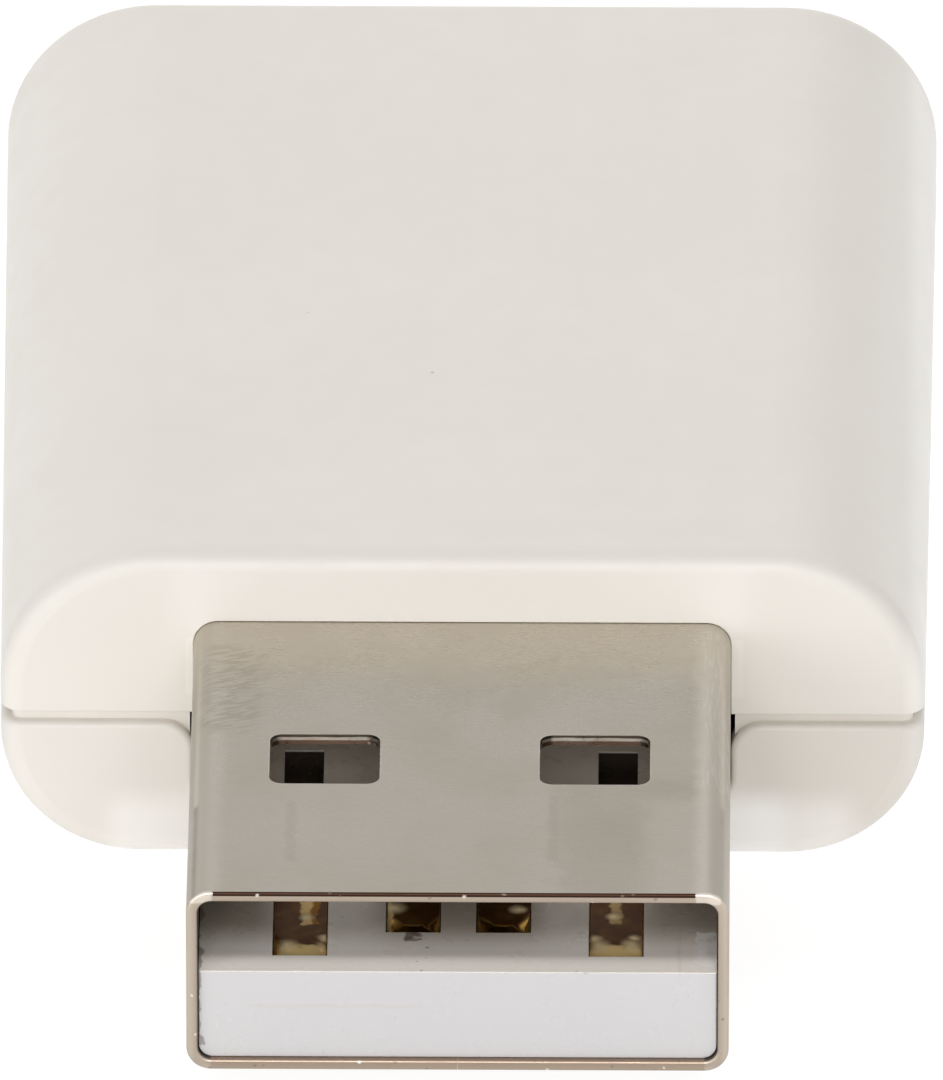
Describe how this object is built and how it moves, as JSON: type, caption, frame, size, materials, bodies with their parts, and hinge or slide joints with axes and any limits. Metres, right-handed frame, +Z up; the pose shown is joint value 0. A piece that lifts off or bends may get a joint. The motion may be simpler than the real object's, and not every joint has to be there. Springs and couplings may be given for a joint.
{
  "type": "signal repeater",
  "caption": "Small plug-in radio repeater: a rounded white plastic housing of an upper and a lower shell, with a metal USB-A plug in its front face.",
  "frame": {"origin": "middle of the underside of the bounding box", "axes": "+Y from the plug's mouth to the back of the housing, +Z up, +X to the right seen from the plug"},
  "size_m": [0.0212, 0.0388, 0.0077],
  "materials": {
    "housing_white": "satin",
    "plug_steel": "satin",
    "insert_white": "satin",
    "gilt": "polished",
    "board_green": "gloss",
    "can_steel": "satin",
    "package_black": "matte",
    "crystal_lid": "satin",
    "capacitor_ceramic": "satin",
    "ferrite_grey": "matte",
    "inductor_white": "satin",
    "resistor_black": "satin",
    "antenna_white": "satin",
    "lamp_clear": "gloss",
    "switch_black": "matte",
    "switch_steel": "satin",
    "button_white": "satin"
  },
  "bodies": {
    "repeater": {"upper_shell": "housing_white", "lower_shell": "housing_white", "usb_shell": "plug_steel", "usb_insulator": "insert_white", "supply_contact": "gilt", "data_minus_contact": "gilt", "data_plus_contact": "gilt", "ground_contact": "gilt", "circuit_board": "board_green", "shield_can": "can_steel", "radio_chip": "package_black", "memory_chip": "package_black", "voltage_regulator": "package_black", "protection_diode": "package_black", "crystal": "crystal_lid", "supply_capacitors": "capacitor_ceramic", "bypass_capacitors": "capacitor_ceramic", "supply_ferrite": "ferrite_grey", "matching_inductors": "inductor_white", "resistors": "resistor_black", "chip_antenna": "antenna_white", "status_led": "lamp_clear", "switch_base": "switch_black", "switch_cover": "switch_steel", "switch_dome": "switch_steel", "switch_terminals": "switch_steel"},
    "reset_button": {"reset_plunger": "button_white"}
  },
  "joints": [
    {"name": "reset_press", "type": "slide", "parent": "repeater", "child": "reset_button", "axis": [-1, 0, 0], "range_m": [0, 0.00025], "stiffness_N_per_m": 6400, "deforming": ["switch_dome"]}
  ]
}
